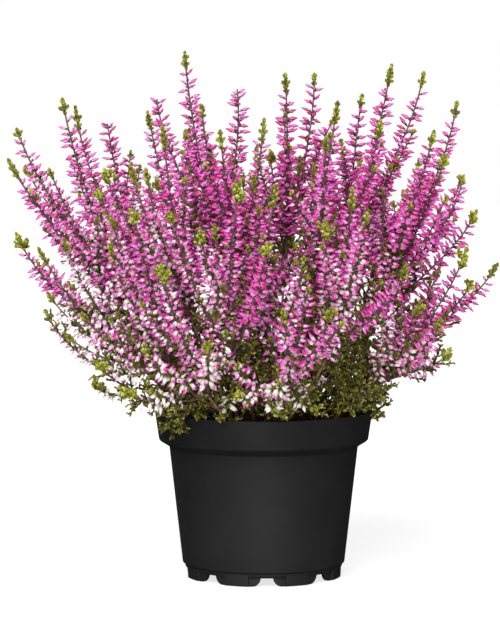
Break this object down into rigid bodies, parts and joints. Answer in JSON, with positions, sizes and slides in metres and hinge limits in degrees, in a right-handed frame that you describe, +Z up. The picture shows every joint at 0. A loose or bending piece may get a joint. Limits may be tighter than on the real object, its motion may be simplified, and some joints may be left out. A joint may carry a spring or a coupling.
{
  "type": "potted heather",
  "caption": "Bushy heather with upright bud-covered flowering spikes and leafy tips, growing in a round tapered nursery pot filled with peat.",
  "frame": {"origin": "on the pot's axis, on the surface that the pot stands on", "axes": "+Z up along the pot's axis, -Y towards the front of the plant, +X to its right"},
  "size_m": [0.2931, 0.2837, 0.3125],
  "materials": {
    "pot": "satin",
    "peat": "fibrous, matte",
    "stem": "matte",
    "flower": "petal, soft sheen",
    "foliage": "leaf, soft sheen"
  },
  "bodies": {
    "root": {"pot": "pot", "peat": "peat", "spray_01_stem": "stem", "spray_01_flowers": "flower", "spray_02_stem": "stem", "spray_02_flowers": "flower", "spray_03_stem": "stem", "spray_03_flowers": "flower", "spray_04_stem": "stem", "spray_04_flowers": "flower", "spray_05_stem": "stem", "spray_05_flowers": "flower", "spray_06_stem": "stem", "spray_06_flowers": "flower", "spray_07_stem": "stem", "spray_07_flowers": "flower", "spray_08_stem": "stem", "spray_08_flowers": "flower", "spray_09_stem": "stem", "spray_09_flowers": "flower", "spray_10_stem": "stem", "spray_10_flowers": "flower", "spray_11_stem": "stem", "spray_11_flowers": "flower", "spray_12_stem": "stem", "spray_12_flowers": "flower", "spray_13_stem": "stem", "spray_13_flowers": "flower", "spray_14_stem": "stem", "spray_14_flowers": "flower", "spray_15_stem": "stem", "spray_15_flowers": "flower", "spray_16_stem": "stem", "spray_16_flowers": "flower", "spray_17_stem": "stem", "spray_17_flowers": "flower", "spray_18_stem": "stem", "spray_18_flowers": "flower", "spray_19_stem": "stem", "spray_19_flowers": "flower", "spray_20_stem": "stem", "spray_20_flowers": "flower", "spray_21_stem": "stem", "spray_21_flowers": "flower", "spray_22_stem": "stem", "spray_22_flowers": "flower", "spray_23_stem": "stem", "spray_23_flowers": "flower", "spray_24_stem": "stem", "spray_24_flowers": "flower", "spray_25_stem": "stem", "spray_25_flowers": "flower", "low_shoot_1": "foliage", "low_shoot_2": "foliage", "low_shoot_3": "foliage", "low_shoot_4": "foliage", "low_shoot_5": "foliage", "low_shoot_6": "foliage", "low_shoot_7": "foliage", "low_shoot_8": "foliage"}
  },
  "joints": []
}
